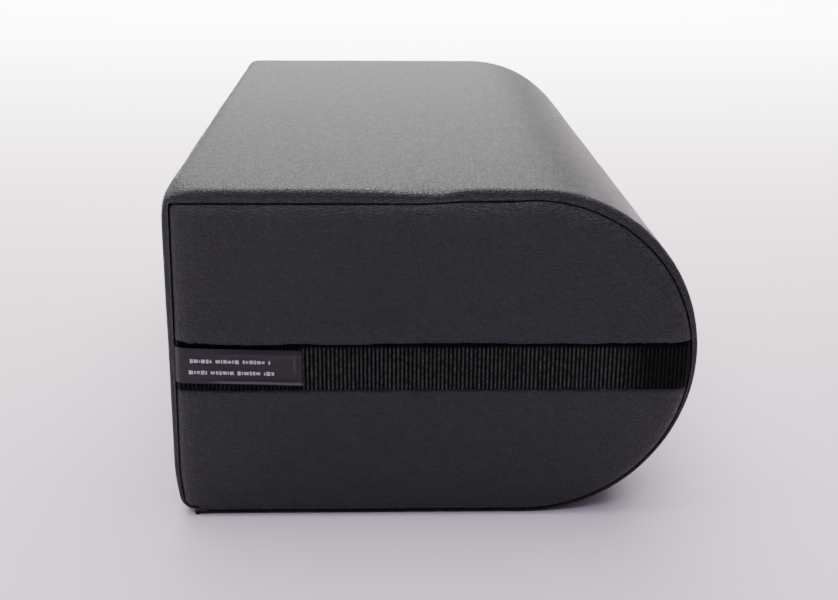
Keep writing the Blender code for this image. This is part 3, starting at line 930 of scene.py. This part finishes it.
class Look:
    """A procedural material under construction, with short calls for the nodes that it needs."""

    def __init__(self, name):
        self.material = bpy.data.materials.new(name)
        self.material.use_nodes = True
        self.tree = self.material.node_tree
        self.shader = self.tree.nodes["Principled BSDF"]
        self.place = self.add("ShaderNodeTexCoord").outputs["Object"]

    def add(self, kind, **settings):
        node = self.tree.nodes.new(kind)
        for key, value in settings.items():
            setattr(node, key, value)
        return node

    def feed(self, socket, value):
        if isinstance(value, bpy.types.NodeSocket):
            self.tree.links.new(value, socket)
        else:
            socket.default_value = value

    def stretched(self, scale):
        node = self.add("ShaderNodeMapping")
        self.feed(node.inputs["Vector"], self.place)
        node.inputs["Scale"].default_value = scale
        return node.outputs["Vector"]

    def bent(self, at, scale, distance):
        """The places pushed about by noise, so that a pattern loses its straight lines."""
        field = self.add("ShaderNodeTexNoise")
        self.feed(field.inputs["Vector"], at)
        field.inputs["Scale"].default_value = scale
        push = self.add("ShaderNodeVectorMath", operation="SCALE")
        self.feed(push.inputs[0], field.outputs["Color"])
        push.inputs["Scale"].default_value = distance
        moved = self.add("ShaderNodeVectorMath", operation="ADD")
        self.feed(moved.inputs[0], at)
        self.feed(moved.inputs[1], push.outputs[0])
        return moved.outputs[0]

    def noise(self, scale, detail=3, roughness=0.55, at=None, distortion=0.0):
        node = self.add("ShaderNodeTexNoise")
        self.feed(node.inputs["Vector"], at or self.place)
        node.inputs["Scale"].default_value = scale
        node.inputs["Detail"].default_value = detail
        node.inputs["Roughness"].default_value = roughness
        node.inputs["Distortion"].default_value = distortion
        return node.outputs["Fac"]

    def cells(self, scale, feature, at=None):
        node = self.add("ShaderNodeTexVoronoi", feature=feature)
        self.feed(node.inputs["Vector"], at or self.place)
        node.inputs["Scale"].default_value = scale
        return node.outputs["Distance"]

    def wave(self, scale, direction, distortion):
        node = self.add("ShaderNodeTexWave", bands_direction=direction)
        self.feed(node.inputs["Vector"], self.place)
        node.inputs["Scale"].default_value = scale
        node.inputs["Distortion"].default_value = distortion
        return node.outputs["Fac"]

    def math(self, operation, a, b):
        node = self.add("ShaderNodeMath", operation=operation)
        self.feed(node.inputs[0], a)
        self.feed(node.inputs[1], b)
        return node.outputs[0]

    def spread(self, value, low, high, to_low=0.0, to_high=1.0):
        node = self.add("ShaderNodeMapRange")
        self.feed(node.inputs["Value"], value)
        for key, number in (("From Min", low), ("From Max", high), ("To Min", to_low), ("To Max", to_high)):
            node.inputs[key].default_value = number
        return node.outputs["Result"]

    def blend(self, share, low, high):
        node = self.add("ShaderNodeMix", data_type="RGBA")
        self.feed(node.inputs["Factor"], share)
        for key, colour in (("A", low), ("B", high)):
            socket = [s for s in node.inputs if s.name == key and s.type == "RGBA"][0]
            self.feed(socket, with_alpha(colour))
        return [s for s in node.outputs if s.type == "RGBA"][0]

    def bump(self, height, distance, strength=1.0, onto=None):
        node = self.add("ShaderNodeBump")
        node.inputs["Strength"].default_value = strength
        node.inputs["Distance"].default_value = distance
        self.feed(node.inputs["Height"], height)
        if onto:
            self.feed(node.inputs["Normal"], onto)
        return node.outputs["Normal"]

    def finish(self, colour, roughness, normal=None, **fixed):
        self.feed(self.shader.inputs["Base Color"], with_alpha(colour))
        self.feed(self.shader.inputs["Roughness"], roughness)
        if normal:
            self.feed(self.shader.inputs["Normal"], normal)
        for key, value in fixed.items():
            self.shader.inputs[key.replace("_", " ")].default_value = value
        return self.material


def vinyl_look():
    """Embossed upholstery vinyl: a leather grain of fine creases lying mostly sideways, on slow mottling."""
    look = Look("vinyl")
    sideways = look.stretched((0.55, 0.55, 1.0))
    warp = look.noise(330, detail=2, at=sideways)
    bent = look.bent(sideways, 300, 1.6 * MM)
    creases = look.spread(look.cells(620, "DISTANCE_TO_EDGE", at=bent), 0.0, 0.22)
    folds = look.noise(330, detail=4, roughness=0.6, at=bent)
    fine = look.noise(2300, detail=2)
    grain = look.math("ADD", look.math("MULTIPLY", creases, 0.55), look.math("MULTIPLY", folds, 1.3))
    grain = look.math("ADD", grain, look.math("MULTIPLY", fine, 0.25))
    slow = look.bump(look.noise(45, detail=4), 0.9 * MM, 0.5)
    normal = look.bump(grain, 0.64 * MM, 1.0, onto=slow)
    mottle = look.spread(look.noise(9, detail=5), 0.3, 0.7)
    colour = look.blend(mottle, (0.0085, 0.0090, 0.0122), (0.0122, 0.0130, 0.0168))
    # Painted shade: the grain's creases are painted darker.
    colour = look.blend(look.spread(creases, 0, 1, 0.5, 0), colour, (0.004, 0.004, 0.005))
    rough = look.math("ADD", look.spread(warp, 0.3, 0.7, 0.37, 0.46), look.spread(creases, 0, 1, 0.08, 0))
    return look.finish(colour, rough, normal, Specular_IOR_Level=0.38)


def foam_look():
    """Cut polyurethane foam: open pores, slightly yellowed in patches."""
    look = Look("foam")
    pores = look.cells(900, "F1")
    colour = look.blend(look.spread(look.noise(30), 0.3, 0.7), (0.58, 0.53, 0.36), (0.66, 0.62, 0.46))
    return look.finish(colour, 0.95, look.bump(pores, 0.5 * MM, 0.8))


def webbing_look():
    """Black polypropylene webbing: fine fibres across each rib, with highlights painted on the crests of the
    weave and painted shade in the near-black gaps.
    """
    look = Look("webbing")
    fibres = look.noise(900, detail=3, at=look.stretched((1.0, 1.0, 0.25)))
    specks = look.noise(1500, detail=2)
    normal = look.bump(look.math("ADD", fibres, look.math("MULTIPLY", specks, 0.6)), 0.22 * MM, 0.8)
    # Painted highlight: the rib crests are painted lighter from the highlight that each strap piece stores;
    # elsewhere the colour stays near-black, as painted shade.
    painted_glint = look.add("ShaderNodeAttribute", attribute_name="painted_glint").outputs["Fac"]
    painted_crest_light = look.math("MULTIPLY", painted_glint, look.spread(look.noise(420, detail=3), 0.35, 0.65, 0.45, 1.2))
    colour = look.blend(painted_crest_light, (0.0004, 0.0004, 0.0004), (0.095, 0.100, 0.095))
    rough = look.spread(specks, 0.3, 0.7, 0.36, 0.62)
    return look.finish(colour, rough, normal, Specular_IOR_Level=0.04)


def label_look():
    """Black satin tape: a tight weave whose threads run along the label."""
    look = Look("label_tape")
    threads = look.wave(420, "Z", distortion=0.6)
    cross = look.wave(560, "X", distortion=0.8)
    weave = look.math("ADD", look.math("MULTIPLY", threads, 0.7), look.math("MULTIPLY", cross, 0.5))
    normal = look.bump(weave, 0.06 * MM, 0.6, onto=look.bump(look.noise(140, detail=3), 0.3 * MM, 0.35))
    patches = look.spread(look.noise(70), 0.3, 0.7)
    colour = look.blend(patches, (0.0055, 0.0055, 0.0070), (0.0105, 0.0100, 0.0135))
    # Painted highlight: the folded edges and the sewn-down end are painted lighter, standing in for the
    # satin's sheen on them.
    folds = look.add("ShaderNodeAttribute", attribute_name="fold").outputs["Fac"]
    colour = look.blend(look.spread(folds, 0.3, 1.0, 0, 0.85), colour, (0.085, 0.080, 0.095))
    rough = look.spread(look.noise(900), 0.3, 0.7, 0.36, 0.5)
    return look.finish(colour, rough, normal, Specular_IOR_Level=0.35)


def print_look():
    """Light grey print, thin in places where the weave shows through."""
    look = Look("label_print")
    gaps = look.spread(look.noise(1700, detail=2), 0.36, 0.52)
    colour = look.blend(gaps, (0.10, 0.10, 0.11), (0.52, 0.52, 0.56))
    return look.finish(colour, 0.6, look.bump(look.noise(1500), 0.08 * MM, 0.5))


def thread_look():
    """Twisted black polyester thread."""
    look = Look("thread")
    twist = look.wave(1500, "DIAGONAL", distortion=0.3)
    colour = look.blend(twist, (0.010, 0.010, 0.011), (0.03, 0.03, 0.033))
    rough = look.spread(look.noise(1200), 0.3, 0.7, 0.45, 0.6)
    return look.finish(colour, rough, look.bump(twist, 0.12 * MM))


def zip_tape_look():
    """Black polyester twill tape, its diagonal ribs about 0.8 mm apart."""
    look = Look("zip_tape")
    twill = look.wave(390, "DIAGONAL", distortion=0.4)
    fuzz = look.noise(2400, detail=2)
    normal = look.bump(look.math("ADD", twill, look.math("MULTIPLY", fuzz, 0.5)), 0.12 * MM, 0.8)
    colour = look.blend(twill, (0.008, 0.008, 0.009), (0.020, 0.020, 0.022))
    return look.finish(colour, look.spread(fuzz, 0.3, 0.7, 0.6, 0.8), normal)


def zip_coil_look():
    """Moulded black nylon, smooth, with fine draw marks."""
    look = Look("zip_coil")
    marks = look.noise(1900, detail=3, at=look.stretched((1.0, 0.3, 1.0)))
    colour = look.blend(marks, (0.012, 0.012, 0.013), (0.024, 0.024, 0.026))
    return look.finish(colour, look.spread(marks, 0.3, 0.7, 0.26, 0.42), look.bump(marks, 0.03 * MM, 0.5))


def zip_metal_look():
    """Black-lacquered die casting: worn to bare zinc along its edges, with fine scratches."""
    look = Look("zip_metal")
    edges = look.add("ShaderNodeNewGeometry").outputs["Pointiness"]
    scratches = look.noise(700, detail=5, at=look.stretched((0.15, 1.0, 1.0)), distortion=0.4)
    rubbed = look.math("ADD", edges, look.math("MULTIPLY", look.noise(260, detail=4), 0.10))
    worn = look.spread(rubbed, 0.63, 0.70)
    colour = look.blend(worn, (0.018, 0.018, 0.019), (0.30, 0.29, 0.28))
    look.feed(look.shader.inputs["Metallic"], look.spread(worn, 0, 1, 0.25, 1.0))
    rough = look.spread(scratches, 0.35, 0.65, 0.24, 0.46)
    return look.finish(colour, rough, look.bump(scratches, 0.05 * MM, 0.5))


# ==== Assembly ====


def make_stage():
    reach = 16
    corners = [(-reach, -reach, 0), (reach, -reach, 0), (reach, reach, 0), (-reach, reach, 0)]
    floor = new_piece("floor", corners, [(0, 1, 2, 3)])
    look = Look("floor")
    shade = look.blend(look.noise(500), (0.82, 0.735, 0.80), (0.85, 0.765, 0.83))
    floor.data.materials.append(look.finish(shade, 0.7))


def area_light(name, place, target, size, power, colour):
    """A rectangular lamp aimed at a target, its power in watts."""
    lamp = bpy.data.lights.new(name, "AREA")
    lamp.shape = "RECTANGLE"
    lamp.size, lamp.size_y = size
    lamp.energy = power
    lamp.color = colour
    holder = add_object(name, lamp)
    holder.location = place
    holder.rotation_euler = (Vector(target) - Vector(place)).to_track_quat("-Z", "Y").to_euler()
    return holder


def make_lights():
    world = bpy.data.worlds.new("studio")
    bpy.context.scene.world = world
    world.use_nodes = True
    background = world.node_tree.nodes["Background"]
    background.inputs["Color"].default_value = (0.92, 0.88, 1.0, 1)
    background.inputs["Strength"].default_value = 0.23
    area_light("back_panel", (-0.1, 3.4, 1.5), (0, 0, 0.2), (2.0, 1.8), 28, (0.98, 1, 0.94))
    area_light("overhead", (0, 0.35, 2.6), (0, 0.3, 0), (3.6, 2.4), 112, (1, 0.86, 1))
    area_light("front_window", (-0.2, -2.1, 2.6), (0, -0.3, 0.12), (2.4, 1.0), 33, (0.84, 0.84, 1))
    area_light("left_window", (-2.8, -0.5, 0.8), (-0.16, -0.3, 0.1), (1.2, 1.2), 27, (1, 1, 0.98))
    far = area_light("far_floor", (0, 3.2, 2.4), (0, 3.2, 0), (6.0, 2.6), 1080, (1, 1, 0.95))
    far.data.spread = math.radians(112)


def make_camera():
    ahead = Vector((
        math.sin(CAMERA_YAW) * math.cos(CAMERA_PITCH),
        math.cos(CAMERA_YAW) * math.cos(CAMERA_PITCH),
        -math.sin(CAMERA_PITCH),
    ))
    right = ahead.cross(Vector((0, 0, 1))).normalized()
    up = right.cross(ahead)
    rolled_right = right * math.cos(CAMERA_ROLL) + up * math.sin(CAMERA_ROLL)
    rolled_up = up * math.cos(CAMERA_ROLL) - right * math.sin(CAMERA_ROLL)
    data = bpy.data.cameras.new("camera")
    data.lens = CAMERA_LENS
    camera = add_object("camera", data)
    turn = Matrix((rolled_right, rolled_up, -ahead)).transposed()
    camera.matrix_world = Matrix.Translation(CAMERA_PLACE) @ turn.to_4x4()
    bpy.context.scene.camera = camera


make_camera()
make_stage()
make_lights()

vinyl = vinyl_look()
webbing = webbing_look()
zip_tape = zip_tape_look()
zip_coil = zip_coil_look()
zip_metal = zip_metal_look()
thread = thread_look()

make_foam(foam_look())
make_wrap(vinyl)
make_end_panel("vinyl_front_panel", vinyl, "front_end_panel", end=-1, rings=36, levels=2)
make_end_panel("vinyl_rear_panel", vinyl, "rear_end_panel", end=1, rings=18, levels=1)
make_strap(webbing)
make_label(label_look())
make_print(print_look())

make_tape("tape_back", zip_tape, TAPE_BACK_LOW, TAPE_BACK_HIGH, "zip_tape_back")
make_tape("tape_base", zip_tape, TAPE_BASE_LOW, TAPE_BASE_HIGH, "zip_tape_base")
make_coil("coil_back", zip_coil, -1, "zip_coil_back")
make_coil("coil_base", zip_coil, 1, "zip_coil_base")
copy_of_node("front_stop", "zip_top_stop", zip_metal, "bolster", 0.15 * MM)
copy_of_node("rear_stop", "zip_bottom_stop", zip_metal, "bolster", 0.15 * MM)
copy_of_node("slider_body", "zip_slider", zip_metal, "slider", 0.2 * MM)
copy_of_node("pull_tab", "zip_pull", zip_metal, "pull", 0.2 * MM)
make_topstitch("stitches_back", thread, SLOT_LEFT - 2.0 * MM)
make_topstitch("stitches_base", thread, SLOT_RIGHT + 4.0 * MM)
